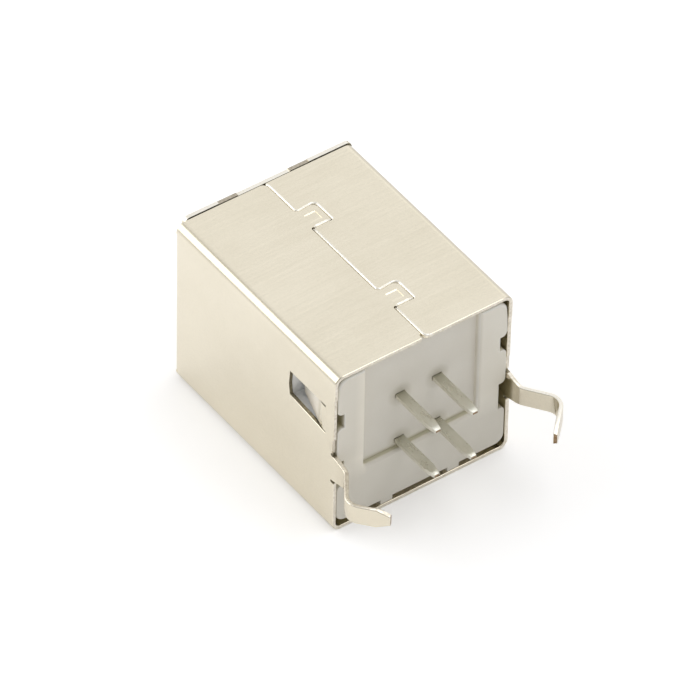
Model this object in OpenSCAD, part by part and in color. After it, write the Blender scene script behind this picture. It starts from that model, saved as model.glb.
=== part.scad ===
// Straight type B board socket: a folded sheet shell around a moulded housing with four stamped contacts.
// The shell lies on its plain wall. X runs across the width, the mouth faces -Y and the tails point to +Y.

/* [Shell] */
// Outside width of the folded shell
shell_w = 12; // [11.6:0.1:14]
// Outside height of the folded shell
shell_h = 11.6; // [11.2:0.1:14]
// Length from the face of the front plate to the rear edge
shell_len = 15.4; // [15:0.1:20]
// Thickness of the sheet
sheet = 0.25; // [0.2:0.01:0.32]
// Outside radius of the long folds
fold_r = 0.6; // [0.45:0.05:0.8]
// Corner radius of the front plate
plate_corner = 0.4; // [0.2:0.05:0.45]
// Gap between the front plate and the wall edges behind it
plate_gap = 0.1; // [0.05:0.01:0.2]
// Depth of the sheared dip along the top edge of the front plate
plate_dip = 0.08; // [0.02:0.01:0.15]
// Half width of the dip
plate_dip_half = 1.75; // [1:0.05:2.5]
// Width of the carrier scar at each end of the dip
plate_scar_w = 1.3; // [0.8:0.05:1.8]

/* [Seam] */
// Width of the slit where the two edges of the sheet meet
seam_gap = 0.05; // [0.03:0.01:0.08]
// How far a hook reaches across the seam
hook_reach = 1.35; // [0.9:0.05:2]
// Length of a hook along the seam
hook_len = 1.55; // [1.2:0.05:2]
// Forward lean of the front edge of a hook
hook_lean = 0.14; // [0:0.01:0.2]
// Root fillet of a hook
hook_fillet = 0.32; // [0.2:0.01:0.4]
// Radius of the notch at the leading corner of a hook
hook_corner = 0.22; // [0.15:0.01:0.3]
// Radius of the hook itself at its leading corner
hook_tab_corner = 0.36; // [0.2:0.01:0.4]
// Radius of the trailing corner of a hook
hook_tail_corner = 0.1; // [0.06:0.01:0.2]
// Radius of the relief hole at the root of the trailing edge
hook_relief = 0.08; // [0.05:0.01:0.12]
// Distance from the rear edge to the nearer hook
hook_from_rear = 2.85; // [2:0.05:4]
// Distance between the two hooks
hook_pitch = 7.7; // [4:0.1:9]
// Rounding of the sheet's corners at the ends of the seam
seam_corner = 0.35; // [0.2:0.01:0.4]
// Side of the staking dent on a hook
stake_side = 0.75; // [0.5:0.05:0.9]
// Distance of the middle of the dent from the line of the seam
stake_x = 0.6; // [0.5:0.05:0.8]
// Length of the slopes at the two ends of the dent
stake_slope = 0.15; // [0.05:0.01:0.2]
// Depth of the staking dent
stake_depth = 0.06; // [0.02:0.01:0.1]

/* [Lances] */
// Length of a retaining lance
lance_len = 3.35; // [2.6:0.05:3.45]
// Width of a lance at its root
lance_w = 1.82; // [1.2:0.02:2]
// How much narrower the lance is at its free end
lance_taper = 0.3; // [0:0.05:0.5]
// How far the middle of the free end stands out from its corners
lance_point = 0.1; // [0:0.01:0.2]
// Length of the root that stays in line with the wall
lance_flat = 0.3; // [0.1:0.05:0.5]
// Length of the bent tip
lance_tip = 0.45; // [0.3:0.05:0.7]
// How far the lance lies inwards at the bend of its tip
lance_bend_in = 0.74; // [0.5:0.02:0.8]
// How far the free end is bent inwards
lance_in = 1.04; // [0.9:0.02:1.2]
// Bend radius at the root of the lance, along the middle of the sheet
lance_root_r = 2; // [1:0.1:2.5]
// Bend radius at the tip of the lance, along the middle of the sheet
lance_tip_r = 1; // [0.5:0.1:1.5]
// Width of the slit along each side of the lance
lance_slit = 0.12; // [0.08:0.01:0.2]
// Room ahead of the free end in the wall
lance_window = 0.1; // [0.05:0.01:0.3]
// Distance from the rear edge to the root of the lance
lance_from_rear = 0.85; // [0.6:0.05:1.5]
// Height of the lance above the middle of the shell
lance_up = 2.2; // [1.5:0.05:3]

/* [Board locks] */
// Width of a leg where it leaves the wall
leg_root_w = 1.8; // [1.55:0.05:2.4]
// Width of a leg past its first bend
leg_w = 1.26; // [1:0.02:1.5]
// Straight part of a leg past the rear edge
leg_flat = 1.05; // [0.8:0.05:1.2]
// Distance of the knee past the rear edge
leg_knee = 3.06; // [2.7:0.02:3.4]
// How far the lines of the knee meet outside the wall
leg_bulge = 1.46; // [0.8:0.02:1.6]
// Reach of the tip past the rear edge
leg_reach = 4.98; // [4.6:0.02:6]
// How far the tip returns inside the line of the wall
leg_return = 0.31; // [0.1:0.01:0.5]
// How much less the tip on the +X side returns, and how much more the other
leg_return_skew = 0.16; // [0:0.02:0.3]
// Bend radius at the root of a leg, along the middle of the sheet
leg_root_r = 0.7; // [0.4:0.05:0.8]
// Bend radius at the knee, along the middle of the sheet
leg_knee_r = 0.9; // [0.4:0.05:1]
// Length of the chamfers at the tip
leg_tip_len = 0.55; // [0.3:0.05:0.8]
// Depth of the chamfers at the tip
leg_tip_cut = 0.3; // [0.1:0.05:0.4]
// Depth of the middle of a leg below the middle of the shell
leg_down = 0.97; // [0.6:0.01:1.5]
// Width of the relief slots beside a leg
relief_w = 0.2; // [0.1:0.01:0.3]
// Depth of the relief slots
relief_depth = 0.18; // [0.1:0.01:0.4]
// Set-back of the wall edge between the relief slot and the carrier scar
edge_step = 0.16; // [0.1:0.01:0.25]
// Set-back of the carrier scar on the wall edge
scar_depth = 0.07; // [0.02:0.01:0.1]
// Lower end of the carrier scar above the middle of the shell
scar_low = 1.1; // [0.8:0.05:1.5]
// Upper end of the carrier scar above the middle of the shell
scar_high = 4.12; // [3.5:0.05:4.5]

/* [Mouth] */
// Height of the mating axis above the middle of the shell
axis_up = 0.14; // [0:0.01:0.2]
// Width of the mating mouth
mouth_w = 8.45; // [8.35:0.01:8.55]
// Height of the mating mouth
mouth_h = 7.78; // [7.68:0.01:7.88]
// Chamfer of the two upper corners of the mouth
mouth_chamfer = 1.63; // [1.5:0.01:1.8]
// Depth of the cavity from the face of the front plate
mouth_depth = 11; // [10:0.1:11.2]
// Width of a ground spring
spring_w = 3.2; // [2:0.1:4]
// Length of a ground spring from the face of the front plate
spring_len = 5; // [4:0.1:7]
// How far a ground spring bows into the mouth
spring_bow = 0.35; // [0.1:0.05:0.5]
// Inside radius of the fold of a ground spring
spring_r = 0.15; // [0.1:0.01:0.25]
// Clearance around a ground spring in its recess
spring_gap = 0.08; // [0.05:0.01:0.15]

/* [Housing] */
// Clearance between the housing and the side walls and front plate
fit_gap = 0.04; // [0.02:0.01:0.1]
// Clearance between the housing and the seam wall
top_gap = 0.12; // [0.05:0.01:0.2]
// Height of the two ribs that the housing stands on
rib_h = 0.32; // [0.2:0.02:0.5]
// Width of a rib
rib_w = 0.82; // [0.5:0.02:1.5]
// Distance of a rib from the middle
rib_x = 2.27; // [1.5:0.01:3.5]
// Radius of the upper long edges of the housing
housing_r = 0.7; // [0.4:0.05:0.9]
// Radius of the lower long edges of the housing
housing_low_r = 0.6; // [0.3:0.05:0.8]
// Chamfer of the front edges of the housing
housing_lead = 0.35; // [0.3:0.05:0.6]
// Set-back of the rear frame from the rear edge of the shell
frame_inset = 0.05; // [0:0.01:0.2]
// Depth of the recess inside the rear frame
recess_depth = 0.4; // [0.2:0.05:1]
// Half width of the recess
recess_half = 3.84; // [3.2:0.02:4.2]
// Depth of the recess below the middle of the shell
recess_down = 1.95; // [1.8:0.05:3]
// Corner radius of the recess
recess_r = 0.2; // [0.1:0.05:0.4]
// Height of the lance groove in the side, at its floor
groove_h = 1; // [0.6:0.05:1.4]
// Height of the middle of that groove above the middle of the shell
groove_up = 2.3; // [1.8:0.05:2.8]
// Depth of the lance groove and of the leg slot
groove_depth = 0.44; // [0.38:0.02:0.6]
// Clearance around a lance in its pocket
pocket_gap = 0.15; // [0.1:0.01:0.25]
// Height of the slot beside a leg, at its floor
leg_slot_h = 1.86; // [1.4:0.02:2.2]
// Depth of the middle of that slot below the middle of the shell
leg_slot_down = 1.64; // [1.4:0.02:2]
// Length of that slot
leg_slot_len = 2.4; // [1:0.1:3.5]
// Radius of the lands beside the grooves
groove_r = 0.32; // [0.1:0.02:0.36]

/* [Tongue] */
// Width of the contact tongue
tongue_w = 5.6; // [5.5:0.01:5.7]
// Thickness of the contact tongue
tongue_t = 3.18; // [3.08:0.01:3.28]
// Set-back of the tongue from the face of the front plate
tongue_setback = 1; // [0.6:0.05:1.5]
// Chamfer of the nose of the tongue
tongue_nose = 0.4; // [0.2:0.05:0.5]
// Clearance under the toe of a contact
beam_under = 0.06; // [0.03:0.01:0.2]
// Clearance on each side of a contact in its groove
beam_gap = 0.1; // [0.05:0.01:0.2]
// Clearance around a contact where it leaves the rear wall
slot_gap = 0.03; // [0.01:0.01:0.06]
// Length of the solid nose ahead of a contact
nose_len = 0.35; // [0.2:0.05:0.6]
// Length of the lip that holds a contact's tip down
lip_len = 0.6; // [0.4:0.05:1]
// Thickness of that lip
lip_t = 0.35; // [0.25:0.05:0.4]

/* [Contacts] */
// Distance between the two contacts on one face
contact_pitch = 2.5; // [2.3:0.05:2.7]
// Height of the tails above and below the mating axis
tail_up = 1.69; // [1.62:0.01:1.8]
// Thickness of the contact strip
contact_t = 0.28; // [0.2:0.01:0.3]
// Width of the spring beam
beam_w = 1; // [0.8:0.05:1.2]
// Width of the press-in shoulder
shoulder_w = 1.25; // [1.1:0.05:1.5]
// Length of the press-in shoulder
shoulder_len = 1.3; // [0.8:0.1:2]
// Width of a solder tail
tail_w = 0.63; // [0.5:0.01:0.9]
// Reach of a solder tail past the rear edge
tail_reach = 3.1; // [2.5:0.1:4]
// Width of a tail at its end
tail_end_w = 0.38; // [0.2:0.02:0.46]
// Thickness of a tail at its end
tail_end_t = 0.18; // [0.1:0.01:0.2]
// Length of the taper of a tail
tail_taper = 0.75; // [0.5:0.05:1.2]
// Rise of the beam's crown above its root
crown_rise = 0.05; // [0:0.01:0.15]
// Distance of the crown behind the front of the tongue
crown_back = 2.6; // [2:0.1:4]
// Bend radius of the crown, along the middle of the strip
crown_r = 1.2; // [0.6:0.1:2]
// Bend radius of the toe under the lip, along the middle of the strip
toe_r = 0.5; // [0.3:0.05:0.6]

/* [Hidden] */
$fn = 48;
// Overshoot of a cutting shape past the face that it cuts
over = 0.2;
// Largest turn between two points of a sampled arc
arc_step = 6;

mid_z = shell_h / 2;
axis_z = mid_z + axis_up;
front_y = -shell_len / 2;
rear_y = shell_len / 2;
plate_back = front_y + sheet;
wall_front = plate_back + plate_gap;
in_w = shell_w - 2 * sheet;
in_h = shell_h - 2 * sheet;
fold_in = fold_r - sheet;
cavity_floor = front_y + mouth_depth;
tongue_front = front_y + tongue_setback;
near_hook = rear_y - hook_from_rear;
lance_root = rear_y - lance_from_rear;
lance_end = lance_root - lance_len;
leg_z = mid_z - leg_down;
house_half = in_w / 2 - fit_gap;
house_low = -in_h / 2 + rib_h;
house_high = in_h / 2 - top_gap;
house_rear = rear_y - frame_inset;
recess_floor = house_rear - recess_depth;
tip_y = tongue_front + nose_len + fit_gap;
toe_y = tongue_front + nose_len + lip_len + toe_r / 2;
tip_z = tongue_t / 2 - lip_t - fit_gap - contact_t / 2;

// Points on a circle about c, from angle a0 through sweep
function arc(c, r, a0, sweep) =
    let (n = max(2, ceil(abs(sweep) / arc_step)))
    [for (i = [0:n]) c + r * [cos(a0 + sweep * i / n), sin(a0 + sweep * i / n)]];

function unit(v) = v / norm(v);
function left_of(v) = [-v.y, v.x];
function wrap(a) = a > 180 ? a - 360 : a < -180 ? a + 360 : a;

// The corner at b between a and c, rounded to radius r
function corner(a, b, c, r) =
    let (u = unit(a - b))
    let (v = unit(c - b))
    let (half = acos(u * v) / 2)
    let (middle = b + unit(u + v) * r / sin(half))
    let (p = b + u * r / tan(half) - middle)
    let (q = b + v * r / tan(half) - middle)
    let (a0 = atan2(p.y, p.x))
    arc(middle, r, a0, wrap(atan2(q.y, q.x) - a0));

// A path of straight runs with each inner corner rounded to its own radius
function bent(path, radii) =
    [for (i = [0:len(path) - 1])
        each radii[i] == 0 ? [path[i]] : corner(path[i - 1], path[i], path[i + 1], radii[i])];

// The point of a path moved sideways, so that both runs beside it move by the same distance
function beside(path, i, d) =
    let (last = len(path) - 1)
    let (before = left_of(unit(path[max(i, 1)] - path[max(i, 1) - 1])))
    let (after = left_of(unit(path[min(i, last - 1) + 1] - path[min(i, last - 1)])))
    let (along = unit(before + after))
    path[i] + along * d / (along * after);

function moved(path, d) = [for (i = [0:len(path) - 1]) beside(path, i, d)];
function reversed(list) = [for (i = [len(list) - 1:-1:0]) list[i]];

// Outline of a strip of thickness t that follows a path
function strip(path, t) = concat(moved(path, t / 2), reversed(moved(path, -t / 2)));

// A half outline followed by its own mirror image across the first axis
function mirrored(half) = concat(half, reversed([for (p = half) [p.x, -p.y]]));

// A shape drawn in X and Z about the middle of the shell, swept from y0 to y1
module sweep_y(y0, y1) {
    translate([0, y1, mid_z])
        rotate([90, 0, 0])
            linear_extrude(y1 - y0) children();
}

// A shape drawn in Y and Z about the middle of the shell, swept from x0 to x1
module sweep_x(x0, x1) {
    translate([x0, 0, mid_z])
        rotate([90, 0, 90])
            linear_extrude(x1 - x0) children();
}

// A shape drawn in X and Y, swept from z0 to z1
module sweep_z(z0, z1) {
    translate([0, 0, z0])
        linear_extrude(z1 - z0) children();
}

// The same shape on both sides of the socket
module both_sides() {
    children();
    mirror([1, 0, 0]) children();
}

module rounded_rect(w, h, r) {
    square([w - 2 * r, h], center = true);
    square([w, h - 2 * r], center = true);
    for (x = [-1, 1], y = [-1, 1])
        translate([x * (w / 2 - r), y * (h / 2 - r)]) circle(r);
}

module mouth_outline() {
    x = mouth_w / 2;
    z = mouth_h / 2;
    polygon([[-x, -z], [x, -z], [x, z - mouth_chamfer], [x - mouth_chamfer, z],
             [mouth_chamfer - x, z], [-x, z - mouth_chamfer]]);
}

// Points of one hook of the seam whose rear edge is at y
function hook(y) = [
    [0, y - hook_len],
    [-hook_reach, y - hook_len - hook_lean],
    [-hook_reach, y],
    [0, y]];

// One edge of the seam, with the leading corners of the hooks rounded to radius r
function seam_edge(r) =
    let (ends = [wall_front - over, rear_y + over])
    let (path = concat([[0, ends[0]]], hook(near_hook - hook_pitch), hook(near_hook), [[0, ends[1]]]))
    let (radii = [hook_fillet, r, hook_tail_corner, 0])
    bent(path, concat(0, radii, radii, 0));

// The slit of the seam: the hooks on the +X edge stand in the notches of the other edge
module seam_slit() {
    notches = moved(seam_edge(hook_corner), seam_gap / 2);
    hooks = moved(seam_edge(hook_tab_corner), -seam_gap / 2);
    sweep_z(shell_h - sheet - over, shell_h + over) {
        polygon(concat(notches, reversed(hooks)));
        for (y = [near_hook, near_hook - hook_pitch])
            translate([-hook_relief, y]) circle(hook_relief);
    }
}

// A quarter-round cut for the corner of the sheet at the origin, towards +X and +Y
module corner_cut(r) {
    difference() {
        translate([-over, -over]) square(r + over);
        translate([r, r]) circle(r);
    }
}

module seam_corners() {
    sweep_z(shell_h - sheet - over, shell_h + over) {
        translate([seam_gap / 2, wall_front]) corner_cut(seam_corner);
        translate([-seam_gap / 2, rear_y]) rotate(180) corner_cut(seam_corner);
    }
}

// Shallow trough pressed into each hook to lock it
module stakes() {
    top = shell_h / 2;
    half = stake_side / 2;
    slope = stake_slope;
    for (y = [near_hook, near_hook - hook_pitch])
        translate([0, y - hook_len / 2, 0])
            sweep_x(-stake_x - half, half - stake_x)
                polygon([[-half, top + over], [-half, top], [slope - half, top - stake_depth],
                         [half - slope, top - stake_depth], [half, top], [half, top + over]]);
}

// Plan of a lance in Y and Z, grown by g on its sides and by ahead at its free end
module lance_outline(g, ahead) {
    side = lance_w / 2 + g;
    end = -lance_len - ahead;
    corner = end + lance_point;
    polygon([[0, -side], [0, side], [corner, side], [end, 0], [corner, lance_taper - side]]);
}

module lance_windows() {
    both_sides()
        translate([0, lance_root, lance_up])
            sweep_x(shell_w / 2 - sheet - over, shell_w / 2 + over)
                lance_outline(lance_slit, lance_window);
}

// The lances slope inwards from their roots, and more so at their tips
module lances() {
    x = shell_w / 2 - sheet / 2;
    side = lance_w / 2;
    path = [[x, lance_root + sheet], [x, lance_root - lance_flat],
            [x - lance_bend_in, lance_end + lance_tip], [x - lance_in, lance_end]];
    both_sides()
        intersection() {
            sweep_z(mid_z + lance_up - side, mid_z + lance_up + side)
                polygon(strip(bent(path, [0, lance_root_r, lance_tip_r, 0]), sheet));
            translate([0, lance_root, lance_up])
                sweep_x(0, shell_w / 2)
                    union() {
                        lance_outline(0, 0);
                        translate([0, -side]) square([sheet, 2 * side]);
                    }
        }
}

// Relief slots beside the legs and the sheared steps of the rear wall edges
module rear_edge_cuts() {
    slot_z = leg_root_w / 2 + relief_w / 2;
    both_sides() {
        for (side = [-1, 1])
            translate([0, rear_y - relief_depth, side * slot_z - leg_down])
                sweep_x(in_w / 2 - over, shell_w / 2 + over) {
                    translate([0, -relief_w / 2]) square([relief_depth + over, relief_w]);
                    circle(relief_w / 2);
                }
        translate([0, rear_y, 0])
            sweep_x(in_w / 2 - over, shell_w / 2 + over) {
                translate([-scar_depth, scar_low])
                    square([scar_depth + over, scar_high - scar_low]);
                translate([-edge_step, slot_z - leg_down])
                    square([edge_step + over, scar_low + leg_down - slot_z]);
            }
    }
}

module walls() {
    difference() {
        sweep_y(wall_front, rear_y)
            difference() {
                rounded_rect(shell_w, shell_h, fold_r);
                rounded_rect(in_w, in_h, fold_in);
            }
        seam_slit();
        seam_corners();
        stakes();
        lance_windows();
        rear_edge_cuts();
        // Room for the fold that carries the front plate
        translate([in_w / 2 - over, front_y, fold_r])
            cube([sheet + 2 * over, fold_r, shell_h - 2 * fold_r]);
    }
}

module front_plate() {
    fold_x = shell_w / 2 - fold_r;
    spring_x = mouth_w / 2 + sheet + spring_r;
    spring_cut = spring_w + 2 * spring_gap;
    difference() {
        sweep_y(front_y, plate_back)
            translate([-fold_r / 2, 0]) rounded_rect(shell_w - fold_r, shell_h, plate_corner);
        sweep_y(front_y - over, plate_back + over) {
            translate([0, axis_up]) mouth_outline();
            translate([0, axis_up]) square([2 * spring_x, spring_cut], center = true);
            translate([-plate_dip_half, shell_h / 2 - plate_dip])
                square([2 * plate_dip_half, plate_dip + over]);
            for (side = [-1, 1])
                translate([side * (plate_dip_half + plate_scar_w / 2), shell_h / 2])
                    square([plate_scar_w, plate_dip], center = true);
        }
    }
    // Quarter-round fold from the side wall
    translate([fold_x, front_y + fold_r, fold_r])
        rotate_extrude(angle = -90)
            translate([fold_in, 0]) square([sheet, shell_h - 2 * fold_r]);
}

module ground_springs() {
    x = mouth_w / 2 + sheet / 2;
    y = front_y + sheet / 2;
    fold = spring_r + sheet / 2;
    crown_y = front_y + spring_len * 2 / 3;
    end_y = front_y + spring_len;
    path = [[x + fold + sheet, y], [x, y], [x - spring_bow, crown_y], [x - spring_gap, end_y]];
    both_sides()
        sweep_z(axis_z - spring_w / 2, axis_z + spring_w / 2)
            polygon(strip(bent(path, [0, fold, spring_len / 6, 0]), sheet));
}

// One board-lock leg on the +X side, with its tip brought back by the given distance
module board_leg(back) {
    x = shell_w / 2 - sheet / 2;
    end_y = rear_y + leg_reach;
    path = [[x, rear_y - relief_depth], [x, rear_y + leg_flat],
            [x + leg_bulge, rear_y + leg_knee], [x - back, end_y]];
    root = leg_root_w / 2;
    wide = leg_w / 2;
    tip = leg_w / 2 - leg_tip_cut;
    half = [[rear_y - relief_depth - over, root], [rear_y, root], [rear_y + leg_flat, wide],
            [end_y - leg_tip_len, wide], [end_y, tip], [end_y + over, tip]];
    intersection() {
        sweep_z(leg_z - root, leg_z + root)
            polygon(strip(bent(path, [0, leg_root_r, leg_knee_r, 0]), sheet));
        translate([0, 0, -leg_down])
            sweep_x(0, shell_w / 2 + leg_bulge + over) polygon(mirrored(half));
    }
}

module board_legs() {
    board_leg(leg_return - leg_return_skew);
    mirror([1, 0, 0])
        board_leg(leg_return + leg_return_skew);
}

module shell() {
    color([0.87, 0.84, 0.77]) {
        walls();
        front_plate();
        ground_springs();
        board_legs();
        lances();
    }
}

// A side groove with rounded lands, h high at its floor
module groove_outline(h) {
    floor_x = house_half - groove_depth;
    out_x = house_half + over;
    land = arc([house_half - groove_r, h / 2 + groove_r], groove_r, -90, 90);
    upper = concat([[floor_x, h / 2]], land, [[out_x, h / 2 + groove_r]]);
    polygon(mirrored(upper));
}

module housing_section() {
    path = [[rib_x, house_low], [house_half, house_low], [house_half, house_high],
            [-house_half, house_high], [-house_half, house_low], [-rib_x, house_low]];
    polygon(bent(path, [0, housing_low_r, housing_r, housing_r, housing_low_r, 0]));
    for (side = [-1, 1])
        translate([side * rib_x - rib_w / 2, -in_h / 2])
            square([rib_w, rib_h + over]);
}

module housing_block() {
    start = plate_back + fit_gap;
    lead_y = start + housing_lead;
    lead_x = house_half - housing_lead;
    intersection() {
        sweep_y(start, house_rear) housing_section();
        sweep_z(0, shell_h)
            polygon([[-lead_x, start], [lead_x, start], [house_half, lead_y], [house_half, house_rear],
                     [-house_half, house_rear], [-house_half, lead_y]]);
    }
}

module rear_recess() {
    top = shell_h / 2 + over;
    path = [[-recess_half, top], [-recess_half, -recess_down],
            [recess_half, -recess_down], [recess_half, top]];
    sweep_y(recess_floor, house_rear + over)
        polygon(bent(path, [0, recess_r, recess_r, 0]));
}

// Pocket that a lance drops into, with a floor that follows the bent lance
module lance_pocket() {
    x = shell_w / 2;
    deep = x - lance_in - sheet - pocket_gap;
    start = lance_end - pocket_gap;
    high = lance_w / 2 + pocket_gap;
    sweep_z(mid_z + lance_up - high, mid_z + lance_up + high)
        polygon([[x, start], [deep, start], [deep, lance_end + pocket_gap],
                 [house_half - pocket_gap, lance_root], [x, lance_root]]);
}

module side_grooves() {
    both_sides() {
        lance_pocket();
        translate([0, 0, groove_up])
            sweep_y(lance_end, house_rear + over) groove_outline(groove_h);
        translate([0, 0, -leg_slot_down])
            sweep_y(house_rear - leg_slot_len, house_rear + over) groove_outline(leg_slot_h);
    }
}

module spring_recesses() {
    inner = mouth_w / 2 - over;
    deep = mouth_w / 2 + sheet + spring_gap;
    fold_end = plate_back + spring_r;
    end_y = front_y + spring_len + spring_gap;
    half = spring_w / 2 + spring_gap;
    both_sides()
        sweep_z(axis_z - half, axis_z + half)
            polygon([[inner, front_y], [deep + spring_r, front_y], [deep + spring_r, fold_end],
                     [deep, fold_end + spring_r], [deep, end_y], [inner, end_y]]);
}

// Outline of the tongue along its length, with a chamfered nose
function nosed(half) = mirrored([
    [cavity_floor + over, half],
    [tongue_front + tongue_nose, half],
    [tongue_front, half - tongue_nose]]);

module tongue() {
    intersection() {
        translate([0, 0, axis_up])
            sweep_x(-tongue_w / 2, tongue_w / 2) polygon(nosed(tongue_t / 2));
        sweep_z(0, shell_h) polygon([for (p = nosed(tongue_w / 2)) [p.y, p.x]]);
    }
}

// Centre line of a contact in Y and Z, from the end of its tail to the tip of its beam
function contact_path() = [
    [rear_y + tail_reach, tail_up],
    [cavity_floor, tail_up],
    [tongue_front + crown_back, tail_up + crown_rise],
    [toe_y, tip_z],
    [tip_y, tip_z]];

module contact_profile(grow) {
    polygon(strip(bent(contact_path(), [0, crown_r, crown_r, toe_r, 0]), contact_t + 2 * grow));
}

// Room in the tongue for one beam, in Y and Z: an open groove and a pocket under the lip
module beam_room() {
    face = tongue_t / 2;
    low = tip_z - contact_t / 2 - beam_under;
    pocket = tongue_front + nose_len;
    lip_end = pocket + lip_len;
    polygon([[pocket, low], [cavity_floor, low], [cavity_floor, face + over],
             [lip_end, face + over], [lip_end, face - lip_t], [pocket, face - lip_t]]);
}

// Places the children at each contact of the given numbers
module at_contacts(numbers) {
    for (n = numbers) {
        right = n == 0 || n == 3;
        upper = n < 2;
        translate([right ? contact_pitch / 2 : -contact_pitch / 2, 0, axis_z])
            mirror([0, 0, upper ? 0 : 1])
                translate([0, 0, -mid_z]) children();
    }
}

module contact_slots() {
    wide = shoulder_w / 2;
    slim = tail_w / 2 + slot_gap;
    shoulder_end = cavity_floor + shoulder_len + slot_gap;
    at_contacts([0:3]) {
        sweep_x(-beam_w / 2 - beam_gap, beam_w / 2 + beam_gap) beam_room();
        intersection() {
            sweep_x(-wide, wide) contact_profile(slot_gap);
            sweep_z(mid_z, shell_h)
                polygon([[-wide, cavity_floor - over], [wide, cavity_floor - over], [wide, shoulder_end],
                         [slim, shoulder_end], [slim, rear_y], [-slim, rear_y],
                         [-slim, shoulder_end], [-wide, shoulder_end]]);
        }
    }
}

module housing() {
    color([0.8, 0.79, 0.75])
        difference() {
            union() {
                difference() {
                    housing_block();
                    sweep_y(front_y, cavity_floor) translate([0, axis_up]) mouth_outline();
                }
                tongue();
            }
            rear_recess();
            side_grooves();
            spring_recesses();
            contact_slots();
        }
}

// Half of a contact's plan in X and Y: tapered tail, shoulder and beam
function contact_half_plan() = [
    [tail_end_w / 2, rear_y + tail_reach],
    [tail_w / 2, rear_y + tail_reach - tail_taper],
    [tail_w / 2, cavity_floor + shoulder_len],
    [shoulder_w / 2, cavity_floor + shoulder_len],
    [shoulder_w / 2, cavity_floor],
    [beam_w / 2, cavity_floor],
    [beam_w / 2, tip_y]];

// Wedge above a tail that bevels its end
module tail_bevel() {
    end = rear_y + tail_reach;
    start = end - tail_taper / 2;
    polygon([[start, contact_t / 2], [end, tail_end_t / 2], [end + over, tail_end_t / 2],
             [end + over, contact_t], [start, contact_t]]);
}

module contact(number) {
    half = contact_half_plan();
    plan = concat(half, reversed([for (p = half) [-p.x, p.y]]));
    color([0.77, 0.74, 0.66])
        at_contacts([number])
            difference() {
                intersection() {
                    sweep_x(-shoulder_w / 2, shoulder_w / 2) contact_profile(0);
                    sweep_z(mid_z, shell_h) polygon(plan);
                }
                translate([0, 0, tail_up])
                    sweep_x(-tail_w, tail_w) {
                        tail_bevel();
                        mirror([0, 1]) tail_bevel();
                    }
            }
}

shell();
housing();
contact(0);  // contact_1
contact(1);  // contact_2
contact(2);  // contact_3
contact(3);  // contact_4
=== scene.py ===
import math

import bmesh
import bpy
from mathutils import Matrix, Vector


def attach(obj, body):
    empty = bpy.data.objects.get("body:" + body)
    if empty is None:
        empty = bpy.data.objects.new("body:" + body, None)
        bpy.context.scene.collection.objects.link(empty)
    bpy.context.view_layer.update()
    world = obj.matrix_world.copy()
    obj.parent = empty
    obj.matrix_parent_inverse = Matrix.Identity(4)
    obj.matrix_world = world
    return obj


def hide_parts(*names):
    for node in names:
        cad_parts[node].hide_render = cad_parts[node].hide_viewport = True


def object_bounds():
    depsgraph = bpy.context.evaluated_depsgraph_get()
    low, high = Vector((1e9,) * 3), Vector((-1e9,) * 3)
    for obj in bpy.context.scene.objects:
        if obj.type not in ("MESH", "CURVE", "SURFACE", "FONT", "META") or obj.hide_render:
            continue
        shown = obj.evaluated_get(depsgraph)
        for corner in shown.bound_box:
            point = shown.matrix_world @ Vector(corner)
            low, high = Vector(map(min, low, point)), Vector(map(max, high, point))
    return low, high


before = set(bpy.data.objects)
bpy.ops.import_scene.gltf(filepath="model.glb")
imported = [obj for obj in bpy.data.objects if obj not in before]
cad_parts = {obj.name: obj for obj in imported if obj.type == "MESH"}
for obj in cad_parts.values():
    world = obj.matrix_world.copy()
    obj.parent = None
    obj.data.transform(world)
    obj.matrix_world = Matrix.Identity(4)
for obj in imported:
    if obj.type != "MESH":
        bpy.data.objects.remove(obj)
cad_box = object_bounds()

MM = 0.001

# Main places on the part, in millimetres
SHELL_TOP = 11.6
WALL_FACE = 6.0
REAR_EDGE = 7.7
FRONT_FACE = -7.7
SHEET = 0.25
FOLD = 0.6
HOUSING_REAR = 7.65
RECESS_FLOOR = 7.25
RECESS_HALF = 3.84
RECESS_FOOT = 3.85
TAIL_END = 10.8
TAIL_SIDE = 1.25
TAIL_AXIS = 5.94
TAIL_UP = 1.69

# The sheet on the far side of the seam, the seam's front end and its lip on that sheet
FAR_SHEET_START = -5
FAR_SHEET_END = (-1, 3)
SEAM_REACH = 2.0
SEAM_STEP_X = (-0.2, -0.15)
SEAM_STEP_Y = -6.9
SEAM_LINE = -0.025
SEAM_FRONT = -7.15
SEAM_SIDE = -0.5
LIP_X = (-0.6, 0)
LIP_DROP = 0.15

# The hooked tabs of the seam
TAB_ENDS = (-2.875, 4.825)
TAB_TIP = -1
TAB_ROOT = -0.15
TAB_CORNER = 0.078

# The stakes beside the seam: their places, and how much of their CAD depth they keep
STAKE_FRONTS = (-3.85, 3.85)
STAKE_X = (-1, -0.2)
STAKE_ROOM = (-1.1, -0.1)
STAKE_Y = 6
STAKE_SHARE = 0.35
STAKE_REACH = 0.06
STAKE_SLOPE = 0.1

# Depth below the top of the shell that still belongs to it
TOP_DEPTH = 0.1

# The side windows, the part of them that is punched through, and the root of the lance in them
WINDOW_Y = (3, 7.2)
WINDOW_Z = (6.5, 9.5)
PUNCHED_Y = (3, 6.9)
LANCE_ROOT_Y = 6.25
LANCE_ROOT_Z = (7.08, 8.93)

# The legs, with their start and bend measured from the rear edge, and the relief slots beside them
LEG_START = 0.05
LEG_BEND = 0.9
LEG_END = 12.4
LEG_AXIS = 4.83
RELIEF_OFF = 1.0
RELIEF_HALF = 0.11
RELIEF_DEPTH = 0.3

# The torn steps of the rear edge, the scars on top of the front plate and the edges left sharp at its top
TORN_STEP = 0.25
PLATE_SCAR = (1.75, 3.05)
PLATE_TOP = 0.2
FOLD_END = 0.1

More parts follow.
